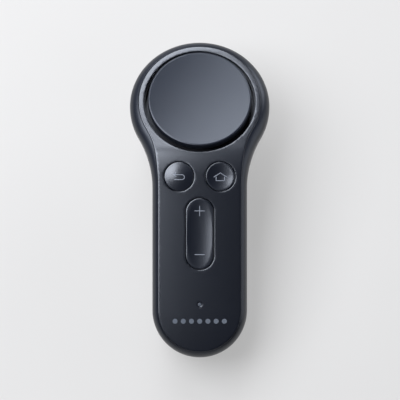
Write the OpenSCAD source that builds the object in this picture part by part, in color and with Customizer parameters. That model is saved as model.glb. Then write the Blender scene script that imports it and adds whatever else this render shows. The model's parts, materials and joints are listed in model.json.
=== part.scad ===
// Hand-held motion controller for a head-worn viewer: a straight handle with a round tail,
// a tilted round head with a clicking touchpad, three keys, a trigger and a battery bay.
// Modelled flat on the handle's front face (X right, Y towards the head, Z out of the face)
// and laid on its back at the end, the way it rests on a table.

/* [Casing] */
// Half width of the handle, which is also the radius of the round tail
handle_r = 16.2; // [16:0.1:16.4]
// Distance from the bend back to the centre of the round tail
tail_s = 52.4; // [52:0.2:54]
// Radius of the round head
head_r = 24.05; // [23.8:0.05:24.4]
// Distance from the bend forward to the centre of the head
head_s = 21.05; // [20.8:0.05:21.3]
// Tilt of the head against the handle in degrees
tilt = 24; // [23:0.5:25]
// Depth of the handle, front to back
handle_depth = 21; // [20.9:0.1:21.6]
// Depth of the head, front to back
head_depth = 15.5; // [15.4:0.1:16]
// Wall thickness of the casings
wall = 1.5; // [1.3:0.05:1.55]

/* [Touchpad] */
// Radius of the touchpad's face
pad_r = 17.66; // [17.4:0.02:17.8]
// Radius of the round recess that the touchpad sits in
recess_r = 19.1; // [19:0.05:19.2]
// Height of the touchpad's rim above the head's face
pad_rise = 2; // [1.6:0.1:2.2]

/* [Keys] */
// Radius of the round back and home buttons
key_r = 5; // [4.8:0.05:5.1]
// Distance of each round button from the middle line
key_x = 7.07; // [6.9:0.01:7.3]
// Place of the round buttons along the handle
key_y = -6.7; // [-7:0.1:-6.6]
// Width of the volume key
volume_w = 9.5; // [9:0.1:10]
// Length of the volume key
volume_len = 24.3; // [23.5:0.1:25]
// Middle of the volume key along the handle
volume_y = -26.3; // [-27:0.1:-26]

/* [Trigger] */
// Width of the trigger
trigger_w = 14.4; // [13.5:0.1:14.6]
// How far the trigger's tip stands below the head's face
trigger_drop = 31.9; // [31:0.1:32.5]

/* [Power] */
// Radius of one AAA cell
cell_r = 5.2; // [5.1:0.05:5.25]
// Length of one AAA cell
cell_len = 44.5; // [44:0.1:44.5]

/* [Hidden] */

$fn = 48;
eps = 0.01;
seam_gap = 0.06;

// Resting pose: the part lies on the trigger's tip and the back of the tail
rest_tilt = 15.24;
rest_y = 10.57;
rest_z = 34.98;

// Plan outline, before the bend
neck_s = -9.7;
neck_rise = head_s - neck_s;
neck_r = (pow(handle_r, 2) + pow(neck_rise, 2) - pow(head_r, 2)) / (2 * (head_r - handle_r));
neck_x = handle_r + neck_r;
neck_angle = atan(neck_rise / neck_x);
tail_steps = 8;
side_steps = 5;
lean_from = -22;
neck_steps = 5;
head_steps = 13;

// Front to back
parting_h = -5;
cover_t = 1.6;
shoulder_h = -4.25;
edge_drop = 0.45;
handle_seam = 1.85;
head_seam = 2.9;
ledge = 1.6;
back_power = 2 / 2.4;
back_steps = 6;
cover_steps = 4;

// Bend between the handle and the head
bend_from = -6;
bend_to = 4;
bend_r = (bend_to - bend_from) / (tilt * PI / 180);

// Battery bay
bay_split_z = -9.4;
bay_end_y = -13;
cell_x = 5.45;
cell_z = -12.3;
cell_y = -56.2;
bulkhead_y = cell_y + cell_len + 0.6;

// Boards
board_top = -4.7;
board_t = 0.8;
board_w = 25;
board_y = [-60, -2.8];
led_y = -50.4;
board_hole = [[-10.4, -57], [10.4, -57], [-10.4, -16], [10.4, -16]];

// Trigger, in the head's own frame: along the head, then out of its face
pivot_t = -1;
pivot_h = -11;
pin_r = 1;
pin_fit = 0.05;
boss_r = 2.9;
slot_w = trigger_w + 0.8;
slot_t = [-12.3, 6.9];

// Strap eyelet in the tail
eyelet_y = -65.2;
eyelet_z = -7.1;
eyelet_r = 1.2;
eyelet_len = 8;

plastic = [0.10, 0.12, 0.16];
band_plastic = [0.14, 0.16, 0.21];
pad_plastic = [0.36, 0.38, 0.42];
key_plastic = [0.16, 0.18, 0.23];
board_green = [0.06, 0.30, 0.20];
steel = [0.72, 0.73, 0.75];
frame_plastic = [0.20, 0.21, 0.24];

function mix(a, b, t) = a + (b - a) * t;
function smooth(t) = let (c = min(1, max(0, t))) c * c * (3 - 2 * c);
function lean(s) = tilt * smooth((s - lean_from) / (bend_to - lean_from));
function bend_angle(s) = min(1, max(0, (s - bend_from) / (bend_to - bend_from))) * tilt;
function front_y(s) = min(s, bend_from) + bend_r * sin(bend_angle(s)) + max(0, s - bend_to) * cos(tilt);
function front_z(s) = -bend_r * (1 - cos(bend_angle(s))) - max(0, s - bend_to) * sin(tilt);
function bend(x, s, h) = [x, front_y(s) + h * sin(lean(s)), front_z(s) + h * cos(lean(s))];

// A station on the outline holds its x, its s, and the s of the middle line that faces it
function tail_station(i) = let (a = -90 + 90 * i / tail_steps)
    [handle_r * cos(a), -tail_s + handle_r * sin(a), -tail_s];
function side_station(s) = [handle_r, s, s];
function neck_station(i) = let (a = neck_angle * i / neck_steps,
    x = neck_x - neck_r * cos(a), s = neck_s + neck_r * sin(a))
    [x, s, s + x * tan(a)];
function head_station(i) = let (a = mix(-neck_angle, 90, i / head_steps))
    [head_r * cos(a), head_s + head_r * sin(a), head_s];
right_side = concat(
    [for (i = [0:tail_steps - 1]) tail_station(i)],
    [side_station(-tail_s)],
    [for (i = [0:side_steps - 1]) side_station(mix(lean_from, neck_s, i / side_steps))],
    [for (i = [0:neck_steps - 1]) neck_station(i)],
    [for (i = [0:head_steps]) head_station(i)]);
half = len(right_side) - 1;
outline = concat(right_side, [for (i = [half - 1:-1:1])
    [-right_side[i][0], right_side[i][1], right_side[i][2]]]);
head_first = half - head_steps;
function weld(i) = max(tail_steps, min(head_first, i <= half ? i : len(outline) - i));

function reach(st) = norm([st[0], st[1] - st[2]]);
function station_seam(st) = mix(handle_seam, head_seam, smooth((st[2] + 6) / 22));
function station_depth(st) = mix(handle_depth, head_depth, smooth((st[2] + 8) / 24));
function at(st, f, h) = bend(st[0] * (1 - f), mix(st[1], st[2], f), h);
function at_offset(st, d, h) = at(st, d / reach(st), h);
function crown(f) = -edge_drop * pow(1 - f, 2);
function row_at(d, h) = [for (st = outline) at_offset(st, d, h)];
function row_seam(d, h) = [for (st = outline) at_offset(st, station_seam(st) + d, h)];
function row_back(k, t) = let (a = 90 * k / back_steps)
    [for (st = outline) let (w = pow(cos(a), back_power) * (1 - t / reach(st)))
        at(st, 1 - w, parting_h - (station_depth(st) - t + parting_h) * pow(sin(a), back_power))];

// Closed skin through rows of points; an open stack begins and ends on the middle line
module skin(rows, ring = false) {
    n = len(outline);
    last = len(rows) - 1;
    function id(r, i) = let (q = r % (last + 1), j = i % n)
        q * n + (!ring && (q == 0 || q == last) ? weld(j) : j);
    triangles = [for (r = [0:ring ? last : last - 1]) for (i = [0:n - 1])
        let (a = id(r, i), b = id(r, i + 1), c = id(r + 1, i + 1), d = id(r + 1, i))
        each [[a, b, c], [a, c, d]]];
    polyhedron(points = [for (row = rows) each row],
        faces = [for (f = triangles) if (f[0] != f[1] && f[1] != f[2] && f[2] != f[0]) f],
        convexity = 6);
}

// Lays the whole part on its back
module laid() {
    translate([0, rest_y, rest_z]) rotate([rest_tilt, 0, 0]) children();
}

// The head's own frame: origin in the middle of its face
module on_head() {
    translate(bend(0, head_s, 0)) rotate([-tilt, 0, 0]) children();
}

module post(r, z_low, z_high) {
    translate([0, 0, z_low]) cylinder(r = r, h = z_high - z_low);
}

module tube(r, bore, z_low, z_high) {
    difference() {
        post(r, z_low, z_high);
        post(bore, z_low - 1, z_high + 1);
    }
}

module block(x, y, z) {
    translate([x[0], y[0], z[0]]) cube([x[1] - x[0], y[1] - y[0], z[1] - z[0]]);
}

// A long shape with full round ends, centred on x = 0 and y = 0
module pill(w, len, z) {
    for (y = [-1, 1]) translate([0, y * (len - w) / 2, 0]) post(w / 2, z[0], z[1]);
    block([-w / 2, w / 2], [-(len - w) / 2, (len - w) / 2], z);
}

module key_places() {
    for (x = [-key_x, key_x]) translate([x, key_y, 0]) children();
}

module tail_screw_places() {
    for (x = [-6.8, 6.8]) translate([x, -62.3, 0]) children();
}

module head_screw_places() {
    for (x = [-13.5, 13.5]) translate([x, 0, 0]) children();
}

module front_cover() {
    function edge(st) = (station_seam(st) + seam_gap) / reach(st);
    rows = concat(
        [for (k = [cover_steps:-1:0]) [for (st = outline) let (f = mix(edge(st), 1, k / cover_steps))
            at(st, f, crown(f))]],
        [for (k = [0:cover_steps]) [for (st = outline)
            at(st, mix(edge(st), 1, k / cover_steps), -cover_t)]]);
    color(plastic) laid() difference() {
        skin(rows);
        on_head() post(recess_r, -4, 3);
        key_places() post(key_r + 0.15, -4, 3);
        translate([0, volume_y, 0]) pill(volume_w + 0.4, volume_len + 0.4, [-4, 3]);
        translate([0, led_y, 0]) post(0.65, -4, 3);
    }
}

module upper_housing() {
    shoulder = [for (a = [0, 25, 50, 75]) [for (st = outline)
        at_offset(st, station_seam(st) * (1 - sin(a)), mix(shoulder_h, -edge_drop, cos(a)))]];
    rows = concat(shoulder, [
        row_at(0, shoulder_h),
        row_at(0, parting_h + seam_gap),
        row_at(wall, parting_h + seam_gap),
        row_at(wall, -3.2),
        row_seam(ledge, -3.2),
        row_seam(ledge, -cover_t - seam_gap),
        row_seam(0, -cover_t - seam_gap)]);
    color(band_plastic) laid() difference() {
        union() {
            skin(rows, ring = true);
            tail_screw_places() post(1.9, -6.1, -cover_t - 0.1);
        }
        tail_screw_places() post(0.75, -7, -2.4);
    }
}

// Rear casing and battery cover before the bay is split off
module rear_cup() {
    rows = concat(
        [for (k = [back_steps:-1:0]) row_back(k, wall)],
        [for (k = [0:back_steps]) row_back(k, 0)]);
    skin(rows);
}

module bay_cut(gap) {
    block([-40, 40], [-90, bay_end_y - gap], [-60, bay_split_z - gap]);
}

module eyelet() {
    translate([0, eyelet_y, eyelet_z]) rotate([0, 90, 0]) children();
}

module cord_notch() {
    block([-14, 14], [-72, eyelet_y + 1.5], [-8.5, -5.7]);
}

module rear_housing() {
    color(plastic) laid() difference() {
        union() {
            difference() {
                rear_cup();
                bay_cut(0);
                on_head() block([-slot_w / 2, slot_w / 2], slot_t, [-30, -9]);
                cord_notch();
            }
            block([-eyelet_len / 2, eyelet_len / 2], [-67.2, eyelet_y + 2.1], [-9.3, -5.1]);
        }
        eyelet() post(eyelet_r, -10, 10);
    }
}

module battery_cover() {
    color(plastic) laid() intersection() {
        rear_cup();
        bay_cut(0.15);
    }
}

module chassis() {
    color(frame_plastic) laid() difference() {
        union() {
            block([-12.4, 12.4], [-57, bulkhead_y], [-7, -6.2]);
            block([-10.4, 10.4], [-61, -56.9], [-7, -6.2]);
            block([-8.6, 8.6], [-61, -60], [-13.8, -6.2]);
            block([-8.8, 8.8], [bulkhead_y, bulkhead_y + 0.8], [-16.2, -6.2]);
            tail_screw_places() post(2.1, -8.2, -6.2);
            for (p = board_hole) translate([p[0], p[1], 0]) post(1.9, -6.25, board_top - board_t);
        }
        for (p = board_hole) translate([p[0], p[1], 0]) post(0.75, -8, 0);
        tail_screw_places() post(0.85, -9, 0);
        tail_screw_places() post(1.8, -9.6, -8.2);
        cord_notch();
    }
}

module touchpad_disc() {
    dish = [for (r = [0:2:16]) [r, pad_rise - 0.15 - 0.95 * (1 - pow(r / 16, 2))]];
    color(pad_plastic) laid() on_head() rotate_extrude($fn = 96) polygon(concat(dish, [
        [pad_r - 0.8, pad_rise], [pad_r - 0.25, pad_rise - 0.05], [pad_r, pad_rise - 0.3],
        [pad_r + 0.1, -1.1], [17.2, -1.1], [16.4, 0.2], [0, 0.2]]));
}

module touch_sensor_board() {
    color(board_green) laid() on_head() post(16.2, -0.65, 0.15);
}

module touchpad_carrier() {
    color(frame_plastic) laid() on_head() union() {
        post(16.8, -1.7, -0.7);
        post(2.5, -3, -1.69);
    }
}

module touchpad_well() {
    color(frame_plastic) laid() on_head() difference() {
        post(19.4, -5.4, -cover_t - 0.2);
        post(18.75, -4.6, 1);
        block([-3.3, 3.3], [-3.3, 3.3], [-7, 0]);
        head_screw_places() post(0.75, -7, 0);
    }
}

module touchpad_switch() {
    color(steel) laid() on_head() union() {
        block([-3, 3], [-3, 3], [-5.5, -4]);
        post(1.6, -4.01, -3.55);
    }
}

module head_board() {
    color(board_green) laid() on_head() difference() {
        post(17, -6.3, -5.5);
        head_screw_places() post(0.9, -7, -5);
    }
}

// A round key: cap, flange under the cover and a stem down to the keymat
module round_key(x, dish) {
    rings = [for (r = [0:0.8:4]) [r, -0.12 + dish * (1 - pow(r / 4.6, 2))]];
    translate([x, key_y, 0]) rotate_extrude($fn = 64) polygon(concat(rings, [
        [key_r - 0.4, -0.12], [key_r - 0.1, -0.2], [key_r, -0.42],
        [key_r, -2.3], [key_r + 0.75, -2.3], [key_r + 0.75, -2.9],
        [1.5, -2.9], [1.5, -3.3], [0, -3.3]]));
}

module back_button() {
    color(key_plastic) laid() round_key(-key_x, 0.35);
}

module home_button() {
    color(key_plastic) laid() round_key(key_x, -0.45);
}

module volume_rocker() {
    color(key_plastic) laid() translate([0, volume_y, 0]) difference() {
        union() {
            pill(volume_w, volume_len, [-2.4, -0.1]);
            pill(volume_w + 1.5, volume_len + 1.6, [-3, -2.35]);
            for (y = [-9, 9]) translate([0, y, 0]) post(1.4, -3.3, -2.99);
        }
        translate([0, 0, 29.5]) rotate([90, 0, 0]) cylinder(r = 30.1, h = 60, center = true, $fn = 96);
    }
}

module keymat() {
    color([0.25, 0.26, 0.28]) laid() difference() {
        block([-12, 12], [-41, -1.6], [-4.25, -3.75]);
        for (p = [[-10.4, -16], [10.4, -16]]) translate([p[0], p[1], 0]) post(2, -6, -2);
    }
}

module key_switches() {
    color(steel) laid() for (p = [[-key_x, key_y], [key_x, key_y], [0, volume_y - 9], [0, volume_y + 9]])
        translate([p[0], p[1], 0]) post(2.4, board_top, -4.3);
}

module main_board() {
    color(board_green) laid() difference() {
        block([-board_w / 2, board_w / 2], board_y, [board_top - board_t, board_top]);
        for (p = board_hole) translate([p[0], p[1], 0]) post(0.95, -8, 0);
    }
}

module radio_shield() {
    color(steel) laid() block([0.5, 9], [-49, -42.5], [board_top, -3.4]);
}

module controller_chip() {
    color(plastic) laid() block([-9, -2.5], [-49, -42.5], [board_top, -3.8]);
}

module motion_sensor() {
    color(plastic) laid() block([-1.5, 1.5], [-57.5, -54.5], [board_top, -3.9]);
}

module ribbon_cable() {
    route = [[-5, -5.62], [-2.4, -5.9], [-0.6, -7.4], [0.9, -8.35], [3.2, -8.85]];
    color([0.75, 0.45, 0.15]) laid() for (i = [0:len(route) - 2])
        hull() for (p = [route[i], route[i + 1]])
            translate([0, p[0], p[1]]) rotate([0, 90, 0]) cylinder(r = 0.1, h = 6, center = true, $fn = 8);
}

module status_led() {
    color("white") laid() block([-0.8, 0.8], [led_y - 0.8, led_y + 0.8], [board_top, -3.9]);
}

module led_lens() {
    color("white") laid() translate([0, led_y, 0]) union() {
        post(0.6, -3.88, -0.05);
        post(1.3, -2.3, -1.7);
    }
}

// Points on a shallow arc from p to q that sags to the left of the way there
function arc(p, q, sag, steps) = let (way = q - p, out = [-way[1], way[0]] / norm(way))
    [for (i = [0:steps]) let (t = i / steps) p + way * t + out * sag * 4 * t * (1 - t)];

module trigger() {
    tip_r = 1.7;
    tip_t = -1.1;
    tip_h = tip_r - trigger_drop;
    finger_face = arc([6, -15.2], [tip_t + tip_r * 0.94, tip_h - 0.5], -1.9, 8);
    tip = [for (a = [-30, -60, -90, -120, -150]) [tip_t + tip_r * cos(a), tip_h + tip_r * sin(a)]];
    rear_face = arc([tip_t - tip_r * 0.96, tip_h + 0.4], [-11.5, -14.6], -0.9, 8);
    color(key_plastic) laid() on_head() difference() {
        rotate([90, 0, 90]) union() {
            linear_extrude(trigger_w, center = true)
                polygon(concat(finger_face, tip, rear_face, [[-11.5, -12.4], [6, -12.4]]));
            translate([pivot_t, pivot_h, 0]) cylinder(r = boss_r, h = trigger_w, center = true);
        }
        translate([0, pivot_t, pivot_h]) rotate([0, 90, 0]) post(pin_r + pin_fit, -20, 20);
        translate([0, pivot_t, pivot_h]) rotate([0, 90, 0]) post(3.6, -3.6, 3.6);
    }
}

module trigger_pin() {
    color(steel) laid() on_head() translate([0, pivot_t, pivot_h]) rotate([0, 90, 0])
        post(pin_r, -9, 9);
}

module trigger_spring() {
    color(steel) laid() on_head() translate([0, pivot_t, pivot_h]) rotate([0, 90, 0])
        tube(2.4, 1.6, -2.8, 2.8);
}

module trigger_bracket() {
    color(frame_plastic) laid() on_head() difference() {
        union() {
            for (x = [-1, 1]) translate([x * 8.3, 0, 0]) block([-0.7, 0.7], [-4.6, 2.6], [-13.2, -7.3]);
            block([-9, 9], [-4.6, 2.6], [-7.9, -7.3]);
        }
        translate([0, pivot_t, pivot_h]) rotate([0, 90, 0]) post(pin_r, -20, 20);
    }
}

module trigger_switch() {
    color(plastic) laid() on_head() union() {
        block([-3, 3], [-11.5, -6.5], [-8, -6.3]);
        translate([0, -9, 0]) post(1, -9.8, -7.99);
    }
}

module cell(x) {
    translate([x, cell_y, cell_z]) rotate([-90, 0, 0]) union() {
        post(cell_r, 0, cell_len - 1);
        post(1.9, cell_len - 1.01, cell_len);
    }
}

module battery_left() {
    color([0.80, 0.62, 0.25]) laid() cell(-cell_x);
}

module battery_right() {
    color([0.80, 0.62, 0.25]) laid() cell(cell_x);
}

module contact_springs() {
    color(steel) laid() for (x = [-cell_x, cell_x])
        translate([x, cell_y, cell_z]) rotate([90, 0, 0]) difference() {
            cylinder(r1 = 2.2, r2 = 3.4, h = 3.5);
            translate([0, 0, -eps]) cylinder(r1 = 1.6, r2 = 2.8, h = 4);
        }
}

module contact_plates() {
    color(steel) laid() for (x = [-cell_x, cell_x])
        translate([x, 0, 0]) block([-3.2, 3.2], [cell_y + cell_len + 0.02, bulkhead_y - 0.02], [-15.8, -8.5]);
}

module contact_bridge() {
    color(steel) laid() block([-8.6, 8.6], [-59.98, -59.72], [-13.8, -8]);
}

module screw(head_z, tip_z) {
    difference() {
        union() {
            post(1.6, head_z, head_z + 1);
            post(0.75, head_z + 0.99, tip_z);
        }
        post(0.8, head_z - 1, head_z + 0.5, $fn = 6);
    }
}

module housing_screws() {
    color(steel) laid() tail_screw_places() screw(-9.2, -2.5);
    color(steel) laid() on_head() head_screw_places() screw(-7.3, -4.65);
}

module board_screws() {
    color(steel) laid() for (p = board_hole) translate([p[0], p[1], 0]) rotate([180, 0, 0])
        screw(-board_top - 1.02, -board_top + 2.1);
}

front_cover();
upper_housing();
rear_housing();
battery_cover();
chassis();
touchpad_disc();
touch_sensor_board();
touchpad_carrier();
touchpad_well();
touchpad_switch();
head_board();
back_button();
home_button();
volume_rocker();
keymat();
key_switches();
main_board();
radio_shield();
controller_chip();
motion_sensor();
ribbon_cable();
status_led();
led_lens();
trigger();
trigger_pin();
trigger_spring();
trigger_switch();
trigger_bracket();
battery_left();
battery_right();
contact_springs();
contact_plates();
contact_bridge();
housing_screws();
board_screws();
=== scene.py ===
"""Looks of the handheld motion controller: moulded shells, keys, touchpad, trigger and battery bay."""

import json
import math

import bmesh
import bpy
import numpy as np
from mathutils import Matrix, Vector
from mathutils.geometry import delaunay_2d_cdt


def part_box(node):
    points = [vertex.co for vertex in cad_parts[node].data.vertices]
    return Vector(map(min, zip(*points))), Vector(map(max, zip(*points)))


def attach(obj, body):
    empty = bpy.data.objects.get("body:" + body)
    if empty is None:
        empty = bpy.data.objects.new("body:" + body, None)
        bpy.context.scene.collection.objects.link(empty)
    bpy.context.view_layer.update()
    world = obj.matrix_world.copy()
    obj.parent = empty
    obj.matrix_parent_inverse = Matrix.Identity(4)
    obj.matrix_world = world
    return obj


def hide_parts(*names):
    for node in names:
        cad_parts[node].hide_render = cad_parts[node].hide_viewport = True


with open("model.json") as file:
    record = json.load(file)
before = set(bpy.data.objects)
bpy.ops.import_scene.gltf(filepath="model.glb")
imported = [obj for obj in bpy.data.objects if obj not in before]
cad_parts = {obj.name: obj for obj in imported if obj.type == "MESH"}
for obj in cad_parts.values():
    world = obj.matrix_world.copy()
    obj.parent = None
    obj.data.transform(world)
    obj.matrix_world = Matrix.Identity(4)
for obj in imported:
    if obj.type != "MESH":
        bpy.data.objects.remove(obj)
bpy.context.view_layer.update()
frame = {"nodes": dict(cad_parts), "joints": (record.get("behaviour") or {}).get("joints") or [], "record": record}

# ---------------------------------------------------------------- handle frame
# Shapes are worked out flat on the handle's face, in millimetres: x to the right, y towards
# the head, z out of the face. The joints say where that frame lies.

MM = 0.001
JOINTS = {joint["name"]: joint for joint in frame["joints"]}


def joint_axis(name):
    return Vector(JOINTS[name]["axis"]).normalized()


VOLUME_Y = -26.3
VOLUME_HINGE_Z = -2.4
RIGHT = Vector((1, 0, 0))
FACE = -joint_axis("back_press")
AHEAD = -joint_axis("battery_cover_slide")
TILT = FACE.angle(-joint_axis("touchpad_click"))
ORIGIN = Vector(JOINTS["volume_rock"]["pos_m"]) - (AHEAD * VOLUME_Y + FACE * VOLUME_HINGE_Z) * MM
HANDLE = Matrix.Translation(ORIGIN) @ Matrix((RIGHT, AHEAD, FACE)).transposed().to_4x4() @ Matrix.Scale(MM, 4)

# ---------------------------------------------------------------- driving sizes

HANDLE_R = 16.2
TAIL_S = 52.4
HEAD_R = 24.05
HEAD_S = 21.05
NECK_S = -9.7
HANDLE_DEPTH = 20.97
HEAD_DEPTH = 15.5
WALL = 1.5
COVER_T = 1.6
PARTING_H = -5.0
SHOULDER_H = -4.25
CROWN = 0.45
HANDLE_SEAM = 1.85
HEAD_SEAM = 2.9
SEAM_GAP = 0.07
BACK_POWER = 2 / 2.4
LEAN_FROM = -22.0
BEND_FROM = -6.0
BEND_TO = 4.0
BEND_R = (BEND_TO - BEND_FROM) / TILT
BAND_START = math.radians(26)
RECESS_R = 19.1
PAD_R = 17.66
PAD_RISE = 2.0
KEY_R = 5.0
KEY_X = 7.07
KEY_Y = -6.7
KEY_GAP = 0.15
KEY_FLANGE = 0.75
KEY_TOP_R = KEY_R - 0.3
DISH_POWER = 1.2
VOLUME_W = 9.5
VOLUME_LEN = 24.3
VOLUME_GAP = 0.2
LED_Y = -50.4
LED_R = 0.6
EDGE_BEVEL = 0.18
BAY_SPLIT_Z = -9.4
BAY_END_Y = -13.0
SLOT_W = 15.2
SLOT_T = (-12.3, 6.9)
EYELET_Y = -65.2
EYELET_Z = -7.1
EYELET_R = 1.2
TRIGGER_W = 14.4
TRIGGER_DROP = 31.9
TRIGGER_TIP_R = 1.7
TRIGGER_TIP_T = -1.1
TRIGGER_SQUARE = 5.0
PIVOT_T = -1.0
PIVOT_H = -11.0
PIVOT_R = 1.05
HUB_X = 3.65
CELL_R = 5.2
CELL_LEN = 44.5
CELL_X = 5.45
CELL_Y = -56.2
CELL_Z = -12.3
BACK_DISH = 0.42
HOME_DISH = -0.5
GROOVE = 0.30
STROKE_R = 0.15
SIGN_OUT = 7.46
SIGN_SHIFT = 0.35
SIGN_ARM = 1.75
DOTS_Y = -56.1
DOTS_W = 16.8
DOT_COUNT = 7
DOT_R = 0.85
RIB_COUNT = 7
RIB_FIRST = -19.0
RIB_PITCH = 1.6
RIB_HALF = 5.5

# Colours in linear light, stage and view
CASING_DARK = (0.0011, 0.0020, 0.0052)
CASING_LIGHT = (0.0015, 0.0026, 0.0064)
BAND_DARK = (0.0024, 0.0038, 0.0082)
BAND_LIGHT = (0.0032, 0.0048, 0.0100)
PAD_DARK = (0.0105, 0.0128, 0.0190)
PAD_LIGHT = (0.0122, 0.0148, 0.0218)
KEY_DARK = (0.0016, 0.0027, 0.0064)
KEY_LIGHT = (0.0021, 0.0034, 0.0078)
FLOOR_LOW = (0.262, 0.248, 0.226)
FLOOR_HIGH = (0.272, 0.258, 0.235)
FLOOR_GLOW = 0.40
WORLD_STRENGTH = 0.035
LIGHT_TINT = (0.84, 0.89, 1.0)
LIGHTS = [
    ("key_box", -11, 68, 650, (400, 400), 8.0),
    ("left_box", -31, 23, 650, (540, 560), 8.0),
    ("right_box", 80, 0, 650, (420, 700), 1.6),
    ("back_box", 42, 84, 650, (300, 240), 5.0),
    ("tail_box", 0, -74, 650, (600, 300), 0.8),
]
CAMERA_DISTANCE = 1200.0
VIEW_WIDTH = 136.4
VIEW_CENTRE_Y = -14.75

# Points nearer than MERGE become one; TRIANGLE_H is the height of an even triangle of side 1
MERGE = 0.002
TRIANGLE_H = 0.866

NECK_R = (HANDLE_R**2 + (HEAD_S - NECK_S) ** 2 - HEAD_R**2) / (2 * (HEAD_R - HANDLE_R))
NECK_X = HANDLE_R + NECK_R
NECK_ANGLE = math.atan2(HEAD_S - NECK_S, NECK_X)


def mix(a, b, t):
    return a + (b - a) * t


def smooth(t):
    t = min(1.0, max(0.0, t))
    return t * t * (3 - 2 * t)


# ---------------------------------------------------------------- body form


def bend(x, s, h):
    """Point at x, at arc length s along the bent face and h out of it, in the handle frame."""
    angle = TILT * min(1.0, max(0.0, (s - BEND_FROM) / (BEND_TO - BEND_FROM)))
    past = max(0.0, s - BEND_TO)
    y = min(s, BEND_FROM) + BEND_R * math.sin(angle) + past * math.cos(TILT)
    z = -BEND_R * (1 - math.cos(angle)) - past * math.sin(TILT)
    lean = TILT * smooth((s - LEAN_FROM) / (BEND_TO - LEAN_FROM))
    return Vector((x, y + h * math.sin(lean), z + h * math.cos(lean)))


HEAD = HANDLE @ Matrix.Translation(bend(0, HEAD_S, 0)) @ Matrix.Rotation(-TILT, 4, "X")

# A station is a point of the plan outline and the point of the middle line that it faces:
# (x, s, middle s)


def right_side(tail_n=40, side_n=10, neck_n=20, head_n=72):
    stations = []
    for i in range(tail_n):
        a = -math.pi / 2 + math.pi / 2 * i / tail_n
        stations.append((HANDLE_R * math.cos(a), -TAIL_S + HANDLE_R * math.sin(a), -TAIL_S))
    for low, high in ((-TAIL_S, LEAN_FROM), (LEAN_FROM, NECK_S)):
        levels = [mix(low, high, i / side_n) for i in range(side_n)]
        stations += [(HANDLE_R, s, s) for s in levels]
    for i in range(neck_n):
        a = NECK_ANGLE * i / neck_n
        x, s = NECK_X - NECK_R * math.cos(a), NECK_S + NECK_R * math.sin(a)
        stations.append((x, s, s + x * math.tan(a)))
    for i in range(head_n + 1):
        a = mix(-NECK_ANGLE, math.pi / 2, i / head_n)
        stations.append((HEAD_R * math.cos(a), HEAD_S + HEAD_R * math.sin(a), HEAD_S))
    return stations


RIGHT_HALF = right_side()
OUTLINE = RIGHT_HALF + [(-x, s, mid) for x, s, mid in reversed(RIGHT_HALF[1:-1])]


def reach(st):
    return math.hypot(st[0], st[1] - st[2])


def seam_of(st):
    return mix(HANDLE_SEAM, HEAD_SEAM, smooth((st[2] + 6) / 22))


def depth_of(st):
    return mix(HANDLE_DEPTH, HEAD_DEPTH, smooth((st[2] + 8) / 24))


def plan_at(st, f):
    return st[0] * (1 - f), mix(st[1], st[2], f)


def at(st, f, h):
    x, s = plan_at(st, f)
    return bend(x, s, h)


def row(offset, h):
    """Row of points, offset inwards from the outline; offset and h may depend on the station."""
    out = []
    for st in OUTLINE:
        d = offset(st) if callable(offset) else offset
        out.append(at(st, d / reach(st), h(st) if callable(h) else h))
    return out


def back_row(t, inset):
    """Row on the rounded back; t runs from 0 at the parting line to 1 on the middle line."""
    a = math.pi / 2 * t
    across, deep = max(0.0, math.cos(a)) ** BACK_POWER, math.sin(a) ** BACK_POWER
    rows = []
    for st in OUTLINE:
        w = across * (1 - inset / reach(st))
        rows.append(at(st, 1 - w, PARTING_H - (depth_of(st) - inset + PARTING_H) * deep))
    return rows


def share_of_reach(x, s):
    """How far (x, s) lies from the middle line, as a share of the way to the outline."""
    x = abs(x)
    if s <= -TAIL_S:
        return math.hypot(x, s + TAIL_S) / HANDLE_R
    if s <= NECK_S:
        return x / HANDLE_R
    a = math.atan2(s - NECK_S, NECK_X - x)
    if a < NECK_ANGLE:
        along = NECK_X / math.cos(a)
        return (along - math.hypot(NECK_X - x, s - NECK_S)) / (along - NECK_R)
    return math.hypot(x, s - HEAD_S) / HEAD_R


def crown(x, s):
    return -CROWN * share_of_reach(x, s) ** 2


# ---------------------------------------------------------------- mesh making


def linked(name, data):
    """New object in the scene that holds the data."""
    obj = bpy.data.objects.new(name, data)
    bpy.context.scene.collection.objects.link(obj)
    return obj


def evaluated_mesh(obj, name):
    """Plain mesh of what the object's modifiers make."""
    bpy.context.view_layer.update()
    ready = obj.evaluated_get(bpy.context.evaluated_depsgraph_get())
    mesh = bpy.data.meshes.new_from_object(ready)
    mesh.name = name
    return mesh


def mesh_of(name, verts, faces):
    mesh = bpy.data.meshes.new(name)
    mesh.from_pydata(verts, [], faces)
    return mesh


def make_piece(name, verts, faces, material, place=HANDLE, sharp=40):
    """A closed mesh piece in the row frame: doubles merged, normals outwards, smooth shaded."""
    mesh = mesh_of(name, [place @ Vector(v) for v in verts], faces)
    clean(mesh, sharp)
    mesh.materials.append(material)
    return linked(name, mesh)


def clean(mesh, sharp=40):
    bm = bmesh.new()
    bm.from_mesh(mesh)
    bmesh.ops.remove_doubles(bm, verts=bm.verts, dist=MERGE * MM)
    bmesh.ops.recalc_face_normals(bm, faces=bm.faces)
    bm.to_mesh(mesh)
    bm.free()
    mesh.polygons.foreach_set("use_smooth", [True] * len(mesh.polygons))
    mesh.set_sharp_from_angle(angle=math.radians(sharp))
    mesh.update()


def grid_faces(rows, columns, ring=False):
    """Quads between rows that are each a closed loop of columns points."""
    faces = []
    for r in range(rows if ring else rows - 1):
        q = (r + 1) % rows
        for i in range(columns):
            j = (i + 1) % columns
            faces.append((r * columns + i, r * columns + j, q * columns + j, q * columns + i))
    return faces


def skin(name, rows, material, place=HANDLE, ring=False, sharp=40):
    verts = [v for r in rows for v in r]
    return make_piece(name, verts, grid_faces(len(rows), len(rows[0]), ring), material, place, sharp)


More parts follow.
